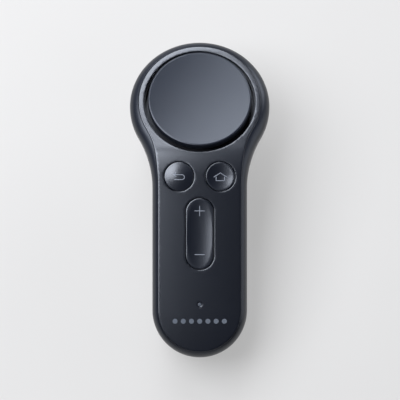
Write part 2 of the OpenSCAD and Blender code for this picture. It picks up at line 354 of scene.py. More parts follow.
def lathe(name, profile, material, place=HEAD, centre=(0, 0), steps=128, sharp=40, shape=None):
    """Turned piece from (radius, height) pairs that begin and end on the axis."""
    rows = []
    for r, z in profile:
        loop = []
        for i in range(steps):
            a = 2 * math.pi * i / steps
            x, y = centre[0] + r * math.cos(a), centre[1] + r * math.sin(a)
            loop.append(shape(x, y, z) if shape else Vector((x, y, z)))
        rows.append(loop)
    return skin(name, rows, material, place, sharp=sharp)


def round_corner(cx, cy, r, a0, a1, steps):
    """Arc of (radius, height) pairs, angles in degrees."""
    out = []
    for i in range(steps + 1):
        a = math.radians(mix(a0, a1, i / steps))
        out.append((cx + r * math.cos(a), cy + r * math.sin(a)))
    return out


# ---------------------------------------------------------------- outlines and plates


def ring_of(hole, grow):
    """Points of a hole's edge in plan, grown outwards: a circle, or a long hole with round ends."""
    x0, y0 = hole["centre"]
    r = hole["r"] + grow
    half = hole.get("half", 0.0)
    steps = hole.get("steps", 96)
    out = []
    for i in range(steps):
        a = 2 * math.pi * (i + 0.5) / steps
        lift = half if math.sin(a) > 0 else -half
        out.append((x0 + r * math.cos(a), y0 + lift + r * math.sin(a)))
    return out


def hole_distance(hole, points):
    """Distance of each point outside the hole's edge, negative inside it."""
    x0, y0 = hole["centre"]
    dy = np.maximum(np.abs(points[:, 1] - y0) - hole.get("half", 0.0), 0)
    return np.hypot(points[:, 0] - x0, dy) - hole["r"]


def inside_outline(loop, points):
    loop = np.array(loop)
    x, y = points[:, 0][:, None], points[:, 1][:, None]
    ax, ay = loop[:, 0][None], loop[:, 1][None]
    bx, by = np.roll(loop[:, 0], -1)[None], np.roll(loop[:, 1], -1)[None]
    crosses = (ay > y) != (by > y)
    with np.errstate(divide="ignore", invalid="ignore"):
        hit = x < (bx - ax) * (y - ay) / (by - ay) + ax
    return (crosses & hit).sum(axis=1) % 2 == 1


def edge_levels(radius, steps=4):
    """(distance from the edge, drop) pairs of a rounded edge, from the wall to the flat."""
    out = []
    for i in range(steps + 1):
        a = math.pi / 2 * i / steps
        out.append((radius * (1 - math.cos(a)), radius * (1 - math.sin(a))))
    return out


def plate(name, edge_of, holes, pitch, edge_r, bottom, material, extent):
    """A curved plate with rounded rims: edge_of(d) is its outline moved inwards by d."""
    loops, drops = [], []
    for d, drop in edge_levels(edge_r):
        loops.append(edge_of(d))
        drops.append(drop)
        for hole in holes:
            loops.append(ring_of(hole, d))
            drops.append(drop)
    clear = edge_r * 1.5
    (x0, x1), (y0, y1) = extent
    lift = pitch * TRIANGLE_H
    grid = []
    for j in range(int((y1 - y0) / lift) + 1):
        for i in range(int((x1 - x0) / pitch) + 1):
            grid.append((x0 + pitch * (i + 0.5 * (j % 2)), y0 + lift * j))
    grid = np.array(grid)
    keep = inside_outline(edge_of(clear), grid)
    for hole in holes:
        keep &= hole_distance(hole, grid) > clear
    grid = grid[keep]
    points, drop_at, edges = [], [], []
    for loop, drop in zip(loops, drops):
        first = len(points)
        points += loop
        drop_at += [drop] * len(loop)
        edges += [(first + i, first + (i + 1) % len(loop)) for i in range(len(loop))]
    points += [tuple(p) for p in grid]
    drop_at += [0.0] * len(grid)
    flat, _, triangles, origins, *_ = delaunay_2d_cdt([Vector(p) for p in points], edges, [], 0, 1e-5)
    middles = np.array([[sum(flat[i][k] for i in t) / 3 for k in (0, 1)] for t in triangles])
    inside = inside_outline(loops[0], middles)
    for hole in holes:
        inside &= hole_distance(hole, middles) > -hole["r"] * 0.002
    triangles = [t for t, ok in zip(triangles, inside) if ok]
    drop = [max((drop_at[o] for o in origin), default=0.0) for origin in origins]
    top = [bend(p[0], p[1], crown(p[0], p[1]) - d) for p, d in zip(flat, drop)]
    low = [bend(p[0], p[1], bottom) for p in flat]
    count = len(top)
    faces = [tuple(t) for t in triangles]
    faces += [tuple(i + count for i in reversed(t)) for t in triangles]
    used = dict.fromkeys((t[i], t[(i + 1) % 3]) for t in triangles for i in range(3))
    faces += [(b, a, a + count, b + count) for a, b in used if (b, a) not in used]
    return make_piece(name, top + low, faces, material, sharp=50)


# ---------------------------------------------------------------- pieces: front


HOLES = [
    {"centre": (0, HEAD_S), "r": RECESS_R, "steps": 240},
    {"centre": (-KEY_X, KEY_Y), "r": KEY_R + KEY_GAP},
    {"centre": (KEY_X, KEY_Y), "r": KEY_R + KEY_GAP},
    {"centre": (0, VOLUME_Y), "r": VOLUME_W / 2 + VOLUME_GAP, "half": (VOLUME_LEN - VOLUME_W) / 2},
    {"centre": (0, LED_Y), "r": LED_R + 0.05, "steps": 32},
]


def build_front_cover(material):
    def edge_of(d):
        return [plan_at(st, (seam_of(st) + SEAM_GAP + d) / reach(st)) for st in OUTLINE]

    extent = ((-HEAD_R, HEAD_R), (-TAIL_S - HANDLE_R, HEAD_S + HEAD_R))
    piece = plate("faceplate", edge_of, HOLES, 0.8, 0.28, -COVER_T, material, extent)
    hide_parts("front_cover")
    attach(piece, "housing")


def build_rim_band(material):
    ledge_h, under_h, foot_h = -COVER_T - 0.06, -3.2, PARTING_H + 0.06

    def inner_edge(st):
        return seam_of(st) + 1.6

    rows = [row(seam_of, ledge_h), row(seam_of, -CROWN - 0.16)]
    for i in range(18):
        a = mix(BAND_START, math.pi / 2, i / 17)
        out, down = (1 - math.sin(a)) / (1 - math.sin(BAND_START)), math.cos(a) / math.cos(BAND_START)
        rows.append(row(lambda st, k=out: seam_of(st) * k, mix(SHOULDER_H, -CROWN - 0.05, down)))
    rows += [row(0, PARTING_H + 0.2), row(0.05, PARTING_H + 0.1), row(0.14, foot_h), row(WALL, foot_h)]
    rows += [row(WALL, under_h), row(inner_edge, under_h), row(inner_edge, ledge_h)]
    piece = skin("rim_band", rows, material, ring=True, sharp=45)
    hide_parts("upper_housing")
    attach(piece, "housing")


def build_touchpad(material):
    profile = [(0, 0.2), (16.4, 0.2), (17.2, -1.1)]
    profile += [(PAD_R, -1.1), (PAD_R + 0.08, -1.0)]
    profile += [(mix(PAD_R + 0.08, PAD_R, t), mix(-1.0, PAD_RISE - 0.46, t)) for t in (0.33, 0.67, 1)]
    profile += round_corner(PAD_R - 0.16, PAD_RISE - 0.3, 0.16, 6, 66, 5)
    rim = PAD_R - 0.5
    profile += [(PAD_R - 0.12, PAD_RISE - 0.14), (PAD_R - 0.46, PAD_RISE - 0.03)]
    profile += [(PAD_R - 0.48, PAD_RISE - 0.025)]
    shares = (1.0, 0.995, 0.97, 0.93, 0.88, 0.82, 0.76, 0.69, 0.62, 0.54, 0.46, 0.38,
              0.3, 0.22, 0.14, 0.07, 0.0)
    profile += [(rim * share, PAD_RISE - 0.97 + 0.94 * share**2.1) for share in shares]
    piece = lathe("touchpad_face", profile, material, steps=256, sharp=60)
    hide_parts("touchpad_disc")
    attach(piece, "touchpad")


def follow_face(x, y, z):
    """A key's top follows the bent face; its foot stays level."""
    lift = smooth((z + 2.1) / 1.2)
    on_face = bend(x, y, z + crown(x, y))
    return Vector((x, y, z)).lerp(on_face, lift)


def build_round_key(name, node, body, x, dish, material):
    """Round key with a rounded rim; dish is the height of its middle over its rim."""
    flange = KEY_R + KEY_FLANGE
    profile = [(0, -3.3), (1.5, -3.3), (1.5, -2.9), (flange, -2.9), (flange, -2.3)]
    profile += [(KEY_R, -2.3), (KEY_R, -1.5), (KEY_R, -0.8)]
    profile += round_corner(KEY_R - 0.26, -0.26, 0.26, 0, 80, 5)
    for i in range(1, 17):
        share = 1 - i / 16
        profile.append((KEY_TOP_R * share, dish * (1 - share**2) ** DISH_POWER))
    piece = lathe(name, profile, material, HANDLE, (x, KEY_Y), 96, 50, follow_face)
    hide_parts(node)
    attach(piece, body)


def pill_loop(radius, half, along=24, around=44):
    """Points round a long shape with round ends, from the start of its right side."""
    out = []
    for side in (1, -1):
        out += [(side * radius, side * half * (2 * i / along - 1)) for i in range(along)]
        turns = [math.pi * i / around for i in range(around)]
        out += [(side * radius * math.cos(a), side * (half + radius * math.sin(a))) for a in turns]
    return out


def groove(x, y):
    """Height of the rocker's top, hollow along its middle, measured from the rocker's centre."""
    across, along = x / (VOLUME_W / 2 - 0.35), y / (VOLUME_LEN / 2 - 0.4)
    return -0.06 - GROOVE * max(0.0, 1 - across**2 - abs(along)**2.6) ** 1.1


def build_volume_key(material):
    """Long rocker with round ends and a groove along its top."""
    half = (VOLUME_LEN - VOLUME_W) / 2
    edge = VOLUME_W / 2
    flange, foot = edge + KEY_FLANGE, -3.0
    levels = [(flange, foot), (flange, -2.35), (edge, -2.35), (edge, -1.2), (edge, -0.5)]
    levels += [(edge - 0.3 + r, z) for r, z in round_corner(0, -0.36, 0.3, 0, 80, 5)]
    levels += [(edge * share, None) for share in
               (0.9, 0.85, 0.8, 0.74, 0.68, 0.6, 0.52, 0.44, 0.35, 0.26, 0.17, 0.08, 0.0)]
    rows = []
    for r, z in levels:
        loop = []
        for x, y in pill_loop(r, half):
            loop.append(Vector((x, VOLUME_Y + y, groove(x, y) if z is None else z)))
        rows.append(loop)
    floor = [Vector((0, p.y, foot)) for p in rows[0]]
    piece = skin("volume_key", [floor] + rows, material, sharp=50)
    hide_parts("volume_rocker")
    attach(piece, "volume_rocker")


# ---------------------------------------------------------------- geometry node trees


class Tree:
    """Short way to fill a node tree: add nodes with settings and link their sockets."""

    def __init__(self, tree):
        self.tree = tree

    def add(self, kind, settings=None, inputs=None):
        node = self.tree.nodes.new(kind)
        for key, value in (settings or {}).items():
            setattr(node, key, value)
        for key, value in (inputs or {}).items():
            socket = node.inputs[key]
            if isinstance(value, bpy.types.NodeSocket):
                self.tree.links.new(value, socket)
            else:
                socket.default_value = value
        return node

    def link(self, out, into):
        self.tree.links.new(out, into)


def geometry_tree(name, sockets):
    """New geometry tree with named inputs; returns the tree helper and its input sockets."""
    tree = bpy.data.node_groups.new(name, "GeometryNodeTree")
    tree.interface.new_socket("Geometry", in_out="INPUT", socket_type="NodeSocketGeometry")
    for label, kind in sockets.items():
        tree.interface.new_socket(label, in_out="INPUT", socket_type="NodeSocket" + kind)
    tree.interface.new_socket("Geometry", in_out="OUTPUT", socket_type="NodeSocketGeometry")
    helper = Tree(tree)
    return helper, helper.add("NodeGroupInput").outputs


def finish_tree(helper, given, geometry, shade_smooth=True):
    if shade_smooth:
        geometry = helper.add("GeometryNodeSetShadeSmooth", inputs={"Geometry": geometry}).outputs[0]
    real = helper.add("GeometryNodeRealizeInstances", inputs={"Geometry": geometry})
    coat = helper.add("GeometryNodeSetMaterial",
                      inputs={"Geometry": real.outputs[0], "Material": given["Material"]})
    out = helper.add("NodeGroupOutput")
    helper.link(coat.outputs[0], out.inputs[0])
    return helper.tree


def add_bar(helper, curve, sides, radius):
    """Round bar along the curves, with closed ends."""
    ring = helper.add("GeometryNodeCurvePrimitiveCircle", inputs={"Resolution": sides, "Radius": radius})
    bar = helper.add("GeometryNodeCurveToMesh",
                     inputs={"Curve": curve, "Profile Curve": ring.outputs[0], "Fill Caps": True})
    return bar.outputs[0]


def stroke_tree():
    """Round bar along every curve that comes in."""
    helper, given = geometry_tree("round_bar", {"Radius": "Float", "Sides": "Int", "Material": "Material"})
    bar = add_bar(helper, given["Geometry"], given["Sides"], given["Radius"])
    return finish_tree(helper, given, bar)


def dot_row_tree():
    """Row of flat round dots, evenly spaced from a first place."""
    helper, given = geometry_tree("dot_row", {"Count": "Int", "First": "Vector", "Step": "Vector",
                                              "Turn": "Vector", "Radius": "Float", "Height": "Float",
                                              "Material": "Material"})
    line = helper.add("GeometryNodeMeshLine", inputs={"Count": given["Count"],
                                                      "Start Location": given["First"],
                                                      "Offset": given["Step"]})
    dot = helper.add("GeometryNodeMeshCylinder", inputs={"Vertices": 32, "Radius": given["Radius"],
                                                         "Depth": given["Height"]})
    turn = helper.add("FunctionNodeEulerToRotation", inputs={"Euler": given["Turn"]})
    placed = helper.add("GeometryNodeInstanceOnPoints", inputs={"Points": line.outputs[0],
                                                               "Instance": dot.outputs[0],
                                                               "Rotation": turn.outputs[0]})
    return finish_tree(helper, given, placed.outputs[0], shade_smooth=False)


def coil_tree():
    """Wire coil that may taper, turned and moved into place."""
    helper, given = geometry_tree("wire_coil", {"Turns": "Float", "Start Radius": "Float",
                                                "End Radius": "Float", "Height": "Float",
                                                "Wire Radius": "Float", "Place": "Vector",
                                                "Turn": "Vector", "Material": "Material"})
    spiral = helper.add("GeometryNodeCurveSpiral", inputs={"Resolution": 28, "Rotations": given["Turns"],
                                                           "Start Radius": given["Start Radius"],
                                                           "End Radius": given["End Radius"],
                                                           "Height": given["Height"]})
    wire = add_bar(helper, spiral.outputs[0], 8, given["Wire Radius"])
    moved = helper.add("GeometryNodeTransform", inputs={"Geometry": wire, "Translation": given["Place"],
                                                        "Rotation": given["Turn"]})
    return finish_tree(helper, given, moved.outputs[0])


def grown(name, tree, values, source=None):
    """Plain mesh piece made by a geometry tree, with its inputs set by identifier."""
    holder = linked(name + "_seed", source or bpy.data.meshes.new(name + "_seed"))
    modifier = holder.modifiers.new("grow", "NODES")
    modifier.node_group = tree
    for item in tree.interface.items_tree:
        if item.in_out == "INPUT" and item.name in values:
            modifier[item.identifier] = values[item.name]
    mesh = evaluated_mesh(holder, name)
    bpy.data.objects.remove(holder)
    clean(mesh)
    return linked(name, mesh)


def euler_of(matrix):
    return matrix.decompose()[1].to_euler()


def curve_of(name, lines, place=HANDLE):
    """Poly curve data in the row frame, one spline for each line of points."""
    data = bpy.data.curves.new(name, "CURVE")
    data.dimensions = "3D"
    for points in lines:
        spline = data.splines.new("POLY")
        spline.points.add(len(points) - 1)
        for target, p in zip(spline.points, points):
            target.co = (*(place @ Vector(p)), 1)
    return data


# ---------------------------------------------------------------- pieces: back


def solid_box(x, y, z, place=HANDLE):
    verts = [place @ Vector((a, b, c)) for a in x for b in y for c in z]
    faces = [(0, 1, 3, 2), (4, 6, 7, 5), (0, 4, 5, 1), (2, 3, 7, 6), (0, 2, 6, 4), (1, 5, 7, 3)]
    return linked("cutter", mesh_of("cutter", verts, faces))


def carve(obj, steps, bevel):
    """Cuts with other objects, each with an operation, then softens the new edges by bevel mm."""
    for operation, cutter in steps:
        modifier = obj.modifiers.new("cut", "BOOLEAN")
        modifier.operation = operation
        modifier.solver = "EXACT"
        modifier.object = cutter
    soften = obj.modifiers.new("soften", "BEVEL")
    soften.width = bevel * MM
    soften.segments = 2
    soften.limit_method = "ANGLE"
    soften.angle_limit = math.radians(50)
    mesh = evaluated_mesh(obj, obj.data.name)
    obj.modifiers.clear()
    obj.data = mesh
    for _, cutter in steps:
        bpy.data.objects.remove(cutter)
    clean(obj.data, 35)


def back_shell(name, material):
    rows = [back_row(t / 12, WALL) for t in range(12, -1, -1)]
    rows += [back_row(t / 24, 0) for t in range(0, 25)]
    return skin(name, rows, material, sharp=35)


def bay_box(gap):
    return solid_box((-40, 40), (-90, BAY_END_Y - gap), (-60, BAY_SPLIT_Z - gap))


def circle_about(x, y, z, r, steps=48):
    """Circle round the x direction, centred on (x, y, z)."""
    turns = [2 * math.pi * i / steps for i in range(steps)]
    return [(x, y + r * math.cos(a), z + r * math.sin(a)) for a in turns]


def solid_rod(radius, half, y, z):
    """Round cutter along x."""
    ends = ((-half, 0), (-half, radius), (half, radius), (half, 0))
    return skin("cutter", [circle_about(x, y, z, r) for x, r in ends], None)


def build_rear_case(material):
    shell = back_shell("rear_case", material)
    bay = bay_box(0.0)
    trigger_slot = solid_box((-SLOT_W / 2, SLOT_W / 2), SLOT_T, (-30, -9), HEAD)
    notch = solid_box((-14, 14), (-72, EYELET_Y + 1.5), (-8.5, -5.7))
    post = solid_box((-4, 4), (-67.2, EYELET_Y + 2.1), (-9.3, -5.1))
    strap_hole = solid_rod(EYELET_R, 10, EYELET_Y, EYELET_Z)
    carve(shell, [("DIFFERENCE", bay), ("DIFFERENCE", trigger_slot), ("DIFFERENCE", notch), ("UNION", post),
                  ("DIFFERENCE", strap_hole)], EDGE_BEVEL)
    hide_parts("rear_housing")
    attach(shell, "housing")


def back_point(x, s, inset):
    """Point of the straight handle's back at x and s, sunk in by inset."""
    w = min(1.0, abs(x) / HANDLE_R)
    deep = (1 - w ** (2 / BACK_POWER)) ** (BACK_POWER / 2)
    return bend(x, s, PARTING_H - (HANDLE_DEPTH + PARTING_H) * deep + inset)


def build_bay_cover(material, bars):
    shell = back_shell("bay_cover", material)
    carve(shell, [("INTERSECT", bay_box(0.15))], EDGE_BEVEL)
    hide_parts("battery_cover")
    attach(shell, "battery_cover")
    lines = []
    for k in range(RIB_COUNT):
        s = RIB_FIRST - RIB_PITCH * k
        lines.append([back_point(RIB_HALF * t / 12, s, 0.12) for t in range(-12, 13)])
    ribs = grown("cover_grip_ribs", bars, {"Radius": 0.3 * MM, "Sides": 10, "Material": material},
                 curve_of("cover_grip_ribs", lines))
    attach(ribs, "battery_cover")


def arc_points(p, q, sag, steps):
    """Shallow arc from p to q that sags to the left of the way there."""
    p, q = Vector(p), Vector(q)
    way = q - p
    out = Vector((-way.y, way.x)).normalized()
    return [p + way * (i / steps) + out * (sag * 4 * (i / steps) * (1 - i / steps)) for i in range(steps + 1)]


def build_trigger(material):
    """Curved finger lever: rounded sections between its finger face and its rear face."""
    tip = Vector((TRIGGER_TIP_T, TRIGGER_TIP_R - TRIGGER_DROP + 0.06))
    tip_w = TRIGGER_W / 2 - 0.9
    front = [Vector((6, -12.4)), Vector((6, -13.8))]
    front += arc_points((6, -15.2), (tip.x + TRIGGER_TIP_R * 0.94, tip.y - 0.5), -1.9, 28)
    rear = [Vector((-11.5, -12.4)), Vector((-11.5, -13.5))]
    rear += arc_points((-11.5, -14.6), (tip.x - TRIGGER_TIP_R * 0.96, tip.y + 0.4), -0.9, 28)
    rows = []
    count = len(front)

    def section(middle, along, half_w):
        loop = []
        for i in range(64):
            a = 2 * math.pi * i / 64
            c, s = math.cos(a), math.sin(a)
            x = half_w * math.copysign(abs(c) ** (2 / TRIGGER_SQUARE), c)
            p = middle + along * math.copysign(abs(s) ** (2 / TRIGGER_SQUARE), s)
            loop.append(Vector((x, p.x, p.y)))
        return loop

    for i in range(count):
        share = i / (count - 1)
        middle, along = (front[i] + rear[i]) / 2, (front[i] - rear[i]) / 2
        rows.append(section(middle, along, mix(TRIGGER_W / 2, tip_w, share**2)))
    down = Vector((along.y, -along.x)).normalized()
    if down.y > 0:
        down = -down
    for j in range(1, 9):
        b = math.pi / 2 * j / 8
        rows.append(section(middle + down * (TRIGGER_TIP_R * math.sin(b)), along * math.cos(b),
                            tip_w - TRIGGER_TIP_R * (1 - math.cos(b))))
    end = middle + down * TRIGGER_TIP_R
    rows.append([Vector((v.x, end.x, end.y)) for v in rows[-1]])
    first = [Vector((v.x, -2.75, v.z)) for v in rows[0]]
    piece = skin("trigger_lever", [first] + rows, material, HEAD, sharp=60)
    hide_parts("trigger")
    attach(piece, "trigger")
    profile = [(PIVOT_R, 0), (PIVOT_R, 3.5), (2.7, 3.5), (2.9, 3.3), (2.9, 0.2), (2.7, 0)]
    for name, side in (("trigger_hub_left", -1), ("trigger_hub_right", 1)):
        rows = [circle_about(side * (HUB_X + x), PIVOT_T, PIVOT_H, r) for r, x in profile]
        hub = skin(name, rows, material, HEAD, ring=True)
        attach(hub, "trigger")


# ---------------------------------------------------------------- pieces: marks and small parts


def key_surface(x, y, centre_x, dish):
    """Height of a round key's top at (x, y)."""
    share = min(1.0, math.hypot(x - centre_x, y - KEY_Y) / KEY_TOP_R)
    return dish * (1 - share**2) ** DISH_POWER


def build_icons(material, bars):
    """Raised signs on the keys: a return arrow, a house, a plus and a minus."""
    sunk = STROKE_R * 0.45

    def on_key(centre_x, dish, points):
        spots = [(centre_x + x, KEY_Y + y) for x, y in points]
        return [follow_face(x, y, key_surface(x, y, centre_x, dish) - sunk) for x, y in spots]

    def dense(points, n=8):
        out = []
        for p, q in zip(points, points[1:]):
            out += [(mix(p[0], q[0], i / n), mix(p[1], q[1], i / n)) for i in range(n)]
        return out + [points[-1]]

    turn = [(1.05 + 0.82 * math.cos(a), -0.33 + 0.82 * math.sin(a)) for a in
            [math.pi / 2 - math.pi * i / 12 for i in range(13)]]
    back = [dense([(-1.7, 0.49)] + turn + [(-1.55, -1.15)], 3),
            dense([(-0.95, 1.2), (-1.75, 0.49), (-0.95, -0.2)])]
    home = [dense([(-2.3, -0.15), (0, 1.35), (2.3, -0.15)]),
            dense([(-1.45, 0.1), (-1.45, -1.35), (1.45, -1.35), (1.45, 0.1)])]

    def on_groove(points):
        return [Vector((x, y, groove(x, y - VOLUME_Y) - sunk)) for x, y in points]

    plus_y, minus_y, arm = VOLUME_Y + SIGN_SHIFT + SIGN_OUT, VOLUME_Y + SIGN_SHIFT - SIGN_OUT, SIGN_ARM
    rocker = [dense([(-arm, plus_y), (arm, plus_y)]), dense([(0, plus_y - arm), (0, plus_y + arm)]),
              dense([(-arm, minus_y), (arm, minus_y)])]
    values = {"Radius": STROKE_R * MM, "Sides": 10, "Material": material}
    for name, body, lines in (
        ("back_sign", "back_button", [on_key(-KEY_X, BACK_DISH, line) for line in back]),
        ("home_sign", "home_button", [on_key(KEY_X, HOME_DISH, line) for line in home]),
        ("volume_signs", "volume_rocker", [on_groove(line) for line in rocker]),
    ):
        piece = grown(name, bars, values, curve_of(name, lines))
        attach(piece, body)


def build_dots(material, row_tree):
    """Row of plain printed dots near the tail."""
    spacing = DOTS_W / (DOT_COUNT - 1)
    first = HANDLE @ Vector((-DOTS_W / 2, DOTS_Y, crown(0, DOTS_Y) - 0.02))
    step = HANDLE.to_3x3() @ Vector((spacing, 0, 0))
    piece = grown("printed_dots", row_tree, {"Count": DOT_COUNT, "First": first, "Step": step,
                                             "Turn": euler_of(HANDLE), "Radius": DOT_R * MM,
                                             "Height": 0.1 * MM, "Material": material})
    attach(piece, "housing")


def build_lens(material):
    side, collar = LED_R - 0.02, 1.3
    profile = [(0, -3.88), (side, -3.88), (side, -2.3), (collar, -2.3), (collar, -1.72), (side, -1.72)]
    profile += [(side, -0.25)] + round_corner(LED_R - 0.06, -0.08, 0.04, 0, 80, 4)
    profile += [(0.2, -0.035), (0, -0.035)]
    piece = lathe("light_lens", profile, material, HANDLE, (0, LED_Y), 48, 50)
    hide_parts("led_lens")
    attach(piece, "housing")


def build_cells(sleeve, metal):
    """AAA cells: printed sleeve with rolled ends, a steel can end and a raised cap."""
    for name, node, x in (("cell_left", "battery_left", -1), ("cell_right", "battery_right", 1)):
        middle = Matrix.Translation((x * CELL_X, CELL_Y, CELL_Z))
        place = HANDLE @ middle @ Matrix.Rotation(-math.pi / 2, 4, "X")
        profile = [(0, 0.5), (4.3, 0.5), (4.5, 0.2)]
        profile += round_corner(CELL_R - 0.45, 0.45, 0.45, -90, 0, 5)
        profile += [(CELL_R, 12), (CELL_R, 24), (CELL_R, 36)]
        profile += round_corner(CELL_R - 0.45, CELL_LEN - 1.45, 0.45, 0, 90, 5)
        profile += [(4.4, CELL_LEN - 1.2), (0, CELL_LEN - 1.2)]
        body = lathe(name, profile, sleeve, place, (0, 0), 64, 45)
        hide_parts(node)
        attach(body, "housing")
        cap = [(0, CELL_LEN - 1.4), (2.4, CELL_LEN - 1.4), (2.4, CELL_LEN - 1.15), (1.95, CELL_LEN - 1.0)]
        cap += round_corner(1.55, CELL_LEN - 0.35, 0.35, 0, 90, 4) + [(0, CELL_LEN)]
        nub = lathe(name + "_cap", cap, metal, place, (0, 0), 48, 45)
        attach(nub, "housing")


def build_springs(coils, metal):
    """Conical contact springs in the bay and the trigger's torsion spring."""
    turn = euler_of(HANDLE @ Matrix.Rotation(math.pi / 2, 4, "X"))
    for name, x in (("contact_spring_left", -1), ("contact_spring_right", 1)):
        place = HANDLE @ Vector((x * CELL_X, CELL_Y - 0.22, CELL_Z))
        piece = grown(name, coils, {"Turns": 4.0, "Start Radius": 1.9 * MM, "End Radius": 3.2 * MM,
                                    "Height": 3.1 * MM, "Wire Radius": 0.22 * MM, "Place": place,
                                    "Turn": turn, "Material": metal})
        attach(piece, "housing")
        if x < 0:
            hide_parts("contact_springs")
    place = HEAD @ Vector((-2.55, PIVOT_T, PIVOT_H))
    turn = euler_of(HEAD @ Matrix.Rotation(math.pi / 2, 4, "Y"))
    piece = grown("torsion_spring", coils, {"Turns": 8.0, "Start Radius": 1.95 * MM, "End Radius": 1.95 * MM,
                                            "Height": 5.1 * MM, "Wire Radius": 0.24 * MM, "Place": place,
                                            "Turn": turn, "Material": metal})
    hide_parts("trigger_spring")
    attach(piece, "housing")


# ---------------------------------------------------------------- shader node groups


def shader_group(name, inputs, outputs):
    """New shader group with float inputs (name: default) and named outputs."""
    tree = bpy.data.node_groups.new(name, "ShaderNodeTree")
    tree.interface.new_socket("Vector", in_out="INPUT", socket_type="NodeSocketVector")
    for label, default in inputs.items():
        socket = tree.interface.new_socket(label, in_out="INPUT", socket_type="NodeSocketFloat")
        socket.default_value = default
    for label in outputs:
        tree.interface.new_socket(label, in_out="OUTPUT", socket_type="NodeSocketFloat")
    helper = Tree(tree)
    return helper, helper.add("NodeGroupInput").outputs, helper.add("NodeGroupOutput")


def math_node(helper, operation, a, b):
    return helper.add("ShaderNodeMath", {"operation": operation}, {0: a, 1: b}).outputs[0]


def noise(helper, place, scale, detail, **more):
    inputs = {"Vector": place, "Scale": scale, "Detail": detail, **more}
    return helper.add("ShaderNodeTexNoise", inputs=inputs).outputs[0]


def mould_grain_group():
    """Fine spark-eroded grain, broad flow patches and faint handling smears of moulded plastic."""
    helper, given, end = shader_group("mould_grain", {"Grain Scale": 7000.0, "Patch Scale": 60.0,
                                                      "Smear Scale": 140.0}, ["Grain", "Patch", "Smear"])
    place = given["Vector"]
    fine = noise(helper, place, given["Grain Scale"], 3.0, Roughness=0.6)
    pits = helper.add("ShaderNodeTexVoronoi", {"feature": "SMOOTH_F1"},
                      {"Vector": place, "Scale": given["Grain Scale"], "Smoothness": 0.6})
    grain = math_node(helper, "ADD", math_node(helper, "MULTIPLY", fine, 0.65),
                      math_node(helper, "MULTIPLY", pits.outputs[0], 0.35))
    patch = noise(helper, place, given["Patch Scale"], 2.0)
    warp = noise(helper, place, given["Smear Scale"], 4.0, Distortion=1.5)
    smear = helper.add("ShaderNodeMapRange", {"interpolation_type": "SMOOTHSTEP"},
                       {"Value": warp, "From Min": 0.5, "From Max": 0.75})
    helper.link(grain, end.inputs["Grain"])
    helper.link(patch, end.inputs["Patch"])
    helper.link(smear.outputs[0], end.inputs["Smear"])
    return helper.tree


def brushed_group():
    """Long fine scratches along one axis, with a broader waviness under them."""
    helper, given, end = shader_group("brushed_metal", {"Scratch Scale": 2500.0}, ["Scratch", "Wave"])
    stretched = helper.add("ShaderNodeMapping", inputs={"Vector": given["Vector"], "Scale": (0.05, 1, 1)})
    helper.link(noise(helper, stretched.outputs[0], given["Scratch Scale"], 4.0), end.inputs["Scratch"])
    helper.link(noise(helper, given["Vector"], 300.0, 2.0), end.inputs["Wave"])
    return helper.tree


def new_material(name):
    material = bpy.data.materials.new(name)
    material.use_nodes = True
    material.node_tree.nodes.clear()
    helper = Tree(material.node_tree)
    shader = helper.add("ShaderNodeBsdfPrincipled")
    out = helper.add("ShaderNodeOutputMaterial")
    helper.link(shader.outputs[0], out.inputs[0])
    place = helper.add("ShaderNodeTexCoord").outputs["Object"]
    return material, helper, shader, place


def use_group(helper, tree, place, values=None):
    """Outputs of a shader group that starts from place, with some of its inputs set."""
    return helper.add("ShaderNodeGroup", {"node_tree": tree}, {"Vector": place, **(values or {})}).outputs


def set_inputs(shader, values):
    for label, value in values.items():
        shader.inputs[label].default_value = value


def add_bump(helper, shader, height, strength, distance):
    """Bump on the shader, its distance in mm."""
    bump = helper.add("ShaderNodeBump", inputs={"Strength": strength, "Distance": distance * MM})
    helper.link(height, bump.inputs["Height"])
    helper.link(bump.outputs[0], shader.inputs["Normal"])


def blend_colours(helper, factor, a, b):
    node = helper.add("ShaderNodeMix", {"data_type": "RGBA"})
    helper.link(factor, node.inputs[0])
    node.inputs[6].default_value = (*a, 1)
    node.inputs[7].default_value = (*b, 1)
    return node.outputs[2]


def paint(helper, shader, factor, low, high):
    """Base colour that runs from low to high with the factor."""
    helper.link(blend_colours(helper, factor, low, high), shader.inputs["Base Color"])


def spread(helper, value, low, high):
    """The middle of a noise value's range, spread from low to high."""
    return helper.add("ShaderNodeMapRange", inputs={"Value": value, "From Min": 0.3, "From Max": 0.7,
                                                    "To Min": low, "To Max": high}).outputs[0]


def moulded(name, grain, dark, light, rough, relief, grain_scale=7000.0, specular=0.5, coat=0.0):
    """Moulded plastic: fine grain, slight colour flow, and smears that polish it a little."""
    material, helper, shader, place = new_material(name)
    marks = use_group(helper, grain, place, {"Grain Scale": grain_scale})
    paint(helper, shader, spread(helper, marks["Patch"], 0, 1), dark, light)
    base = spread(helper, marks["Grain"], rough - 0.02, rough + 0.02)
    polished = math_node(helper, "MULTIPLY", marks["Smear"], 0.015)
    helper.link(math_node(helper, "SUBTRACT", base, polished), shader.inputs["Roughness"])
    add_bump(helper, shader, marks["Grain"], 1.0, relief)
    set_inputs(shader, {"Specular IOR Level": specular, "Specular Tint": (0.94, 0.97, 1.0, 1),
                        "Coat Weight": coat, "Coat Roughness": 0.2})
    return material


def metal(name, brushed, colour, rough):
    material, helper, shader, place = new_material(name)
    marks = use_group(helper, brushed, place)
    dim = tuple(c * 0.86 for c in colour)
    paint(helper, shader, spread(helper, marks["Wave"], 0, 1), dim, colour)
    helper.link(spread(helper, marks["Scratch"], rough - 0.08, rough + 0.12), shader.inputs["Roughness"])
    add_bump(helper, shader, marks["Scratch"], 0.6, 0.004)
    set_inputs(shader, {"Metallic": 1.0})
    return material


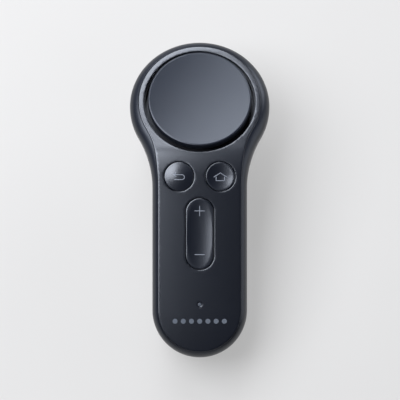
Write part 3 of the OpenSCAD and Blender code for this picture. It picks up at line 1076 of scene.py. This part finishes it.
def circuit_board(name, grain):
    """Green solder mask over copper tracks that run along and across the board."""
    material, helper, shader, place = new_material(name)
    marks = use_group(helper, grain, place, {"Grain Scale": 4000.0})
    tracks = helper.add("ShaderNodeTexBrick", {"offset": 0.37, "offset_frequency": 3, "squash": 1.6},
                        {"Vector": place, "Scale": 420.0, "Mortar Size": 0.06, "Mortar Smooth": 0.3,
                         "Color1": (0, 0, 0, 1), "Color2": (0.15, 0.15, 0.15, 1), "Mortar": (1, 1, 1, 1)})
    copper = tracks.outputs["Color"]
    paint(helper, shader, copper, (0.010, 0.085, 0.045), (0.03, 0.17, 0.085))
    helper.link(spread(helper, marks["Grain"], 0.28, 0.36), shader.inputs["Roughness"])
    add_bump(helper, shader, copper, 0.8, 0.02)
    return material


def cell_sleeve(name, grain):
    """Shrink sleeve in two plain bands that change along the cell, with a fine ring between them."""
    material, helper, shader, place = new_material(name)
    low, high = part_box("battery_left")
    turn = Matrix((RIGHT, AHEAD, FACE))
    flat = helper.add("ShaderNodeMapping", inputs={"Vector": place, "Rotation": turn.to_euler(),
                                                   "Location": -(turn @ ((low + high) / 2))})
    along = helper.add("ShaderNodeSeparateXYZ", inputs={"Vector": flat.outputs[0]}).outputs["Y"]
    change_at = CELL_LEN * MM * 0.2
    band = math_node(helper, "GREATER_THAN", along, change_at)
    ring = math_node(helper, "COMPARE", along, change_at)
    ring.node.inputs[2].default_value = 0.4 * MM
    base = blend_colours(helper, band, (0.018, 0.019, 0.022), (0.50, 0.34, 0.12))
    mixed = helper.add("ShaderNodeMix", {"data_type": "RGBA"}, {0: ring, 6: base, 7: (0.7, 0.7, 0.72, 1)})
    helper.link(mixed.outputs[2], shader.inputs["Base Color"])
    marks = use_group(helper, grain, place, {"Grain Scale": 2500.0})
    helper.link(spread(helper, marks["Patch"], 0.22, 0.34), shader.inputs["Roughness"])
    set_inputs(shader, {"Coat Weight": 0.4, "Metallic": 0.55})
    return material


def build_materials():
    grain, brushed = mould_grain_group(), brushed_group()
    return {
        "casing": moulded("satin_navy", grain, CASING_DARK, CASING_LIGHT, 0.31, 0.003, coat=0.9),
        "band": moulded("satin_rim", grain, BAND_DARK, BAND_LIGHT, 0.40, 0.003, specular=0.4, coat=0.2),
        "pad": moulded("soft_touch_grey", grain, PAD_DARK, PAD_LIGHT, 0.32, 0.008, 5200.0, specular=0.45),
        "key": moulded("key_navy", grain, KEY_DARK, KEY_LIGHT, 0.31, 0.002, coat=1.0),
        "mark": moulded("printed_grey", grain, (0.17, 0.18, 0.20), (0.21, 0.22, 0.24), 0.4, 0.004),
        "dots": moulded("printed_dots_grey", grain, (0.075, 0.085, 0.10), (0.095, 0.105, 0.12), 0.5, 0.004),
        "frame_plastic": moulded("inner_frame", grain, (0.010, 0.010, 0.012), (0.015, 0.015, 0.018),
                                 0.5, 0.015, 3000.0),
        "silicone": moulded("keymat_silicone", grain, (0.06, 0.06, 0.065), (0.085, 0.085, 0.09),
                            0.62, 0.02, 3500.0),
        "chip": moulded("chip_epoxy", grain, (0.01, 0.01, 0.011), (0.018, 0.018, 0.02), 0.48, 0.012, 6000.0),
        "film": moulded("amber_film", grain, (0.42, 0.20, 0.04), (0.52, 0.27, 0.07), 0.3, 0.004, 2500.0),
        "light": moulded("frosted_lens", grain, (0.052, 0.058, 0.069), (0.060, 0.067, 0.079), 0.45, 0.001),
        "led": moulded("led_resin", grain, (0.72, 0.66, 0.42), (0.82, 0.76, 0.5), 0.22, 0.003),
        "board": circuit_board("solder_mask", grain),
        "steel": metal("bright_steel", brushed, (0.62, 0.62, 0.64), 0.28),
        "cell": cell_sleeve("cell_sleeve", grain),
    }


def dress_cad_nodes(materials):
    """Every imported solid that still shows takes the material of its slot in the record."""
    for part in frame["record"]["subparts"]:
        obj = frame["nodes"][part["node"]]
        if obj.hide_render:
            continue
        obj.data.materials.clear()
        obj.data.materials.append(materials[part["material_slot"]])


# ---------------------------------------------------------------- stage


def look_at(obj, target, up):
    forward = (target - obj.location).normalized()
    side = forward.cross(up).normalized()
    obj.rotation_euler = Matrix((side, side.cross(forward), -forward)).transposed().to_euler()


def softbox(name, side, ahead, distance, size, radiance):
    """Rectangular light seen from the handle at these angles from the face's own direction."""
    a, b = math.radians(side), math.radians(ahead)
    aim = Vector((math.sin(a), math.cos(a) * math.sin(b), math.cos(a) * math.cos(b)))
    direction = HANDLE.to_3x3().normalized() @ aim
    data = bpy.data.lights.new(name, "AREA")
    data.shape = "RECTANGLE"
    data.size, data.size_y = size[0] * MM, size[1] * MM
    data.energy = radiance * math.pi * data.size * data.size_y
    data.color = LIGHT_TINT
    lamp = linked(name, data)
    lamp.location = HANDLE.translation + direction * distance * MM
    look_at(lamp, HANDLE.translation, FACE if abs(direction.dot(FACE)) < 0.3 else AHEAD)


def build_stage():
    material, helper, shader, place = new_material("pale_floor")
    mottle = noise(helper, place, 12.0, 3.0)
    paint(helper, shader, spread(helper, mottle, 0, 1), FLOOR_LOW, FLOOR_HIGH)
    set_inputs(shader, {"Roughness": 0.9, "Specular IOR Level": 0.1, "Emission Color": (1, 1, 1, 1),
                        "Emission Strength": FLOOR_GLOW})
    half = 3.0
    corners = [(-half, -half, 0), (half, -half, 0), (half, half, 0), (-half, half, 0)]
    mesh = mesh_of("floor", corners, [(0, 1, 2, 3)])
    mesh.materials.append(material)
    floor = linked("floor", mesh)
    world = bpy.data.worlds.new("studio")
    world.use_nodes = True
    sky = world.node_tree.nodes["Background"]
    set_inputs(sky, {"Color": (0.95, 0.97, 1.0, 1), "Strength": WORLD_STRENGTH})
    bpy.context.scene.world = world
    for light in LIGHTS:
        softbox(*light)
    bpy.context.scene.view_settings.view_transform = "Standard"


def build_camera():
    data = bpy.data.cameras.new("camera")
    data.sensor_width = 36
    data.lens = data.sensor_width * CAMERA_DISTANCE / VIEW_WIDTH
    camera = linked("camera", data)
    target = HANDLE @ Vector((0.1, VIEW_CENTRE_Y, 0))
    camera.location = target + FACE * CAMERA_DISTANCE * MM
    look_at(camera, target, AHEAD)
    bpy.context.scene.camera = camera


def main():
    materials = build_materials()
    bars, row_tree, coils = stroke_tree(), dot_row_tree(), coil_tree()
    build_camera()
    build_stage()
    build_front_cover(materials["casing"])
    build_rim_band(materials["band"])
    build_touchpad(materials["pad"])
    build_round_key("back_key", "back_button", "back_button", -KEY_X, BACK_DISH, materials["key"])
    build_round_key("home_key", "home_button", "home_button", KEY_X, HOME_DISH, materials["key"])
    build_volume_key(materials["key"])
    build_rear_case(materials["casing"])
    build_bay_cover(materials["casing"], bars)
    build_trigger(materials["key"])
    build_icons(materials["mark"], bars)
    build_dots(materials["dots"], row_tree)
    build_lens(materials["light"])
    build_cells(materials["cell"], materials["steel"])
    build_springs(coils, materials["steel"])
    dress_cad_nodes(materials)


main()
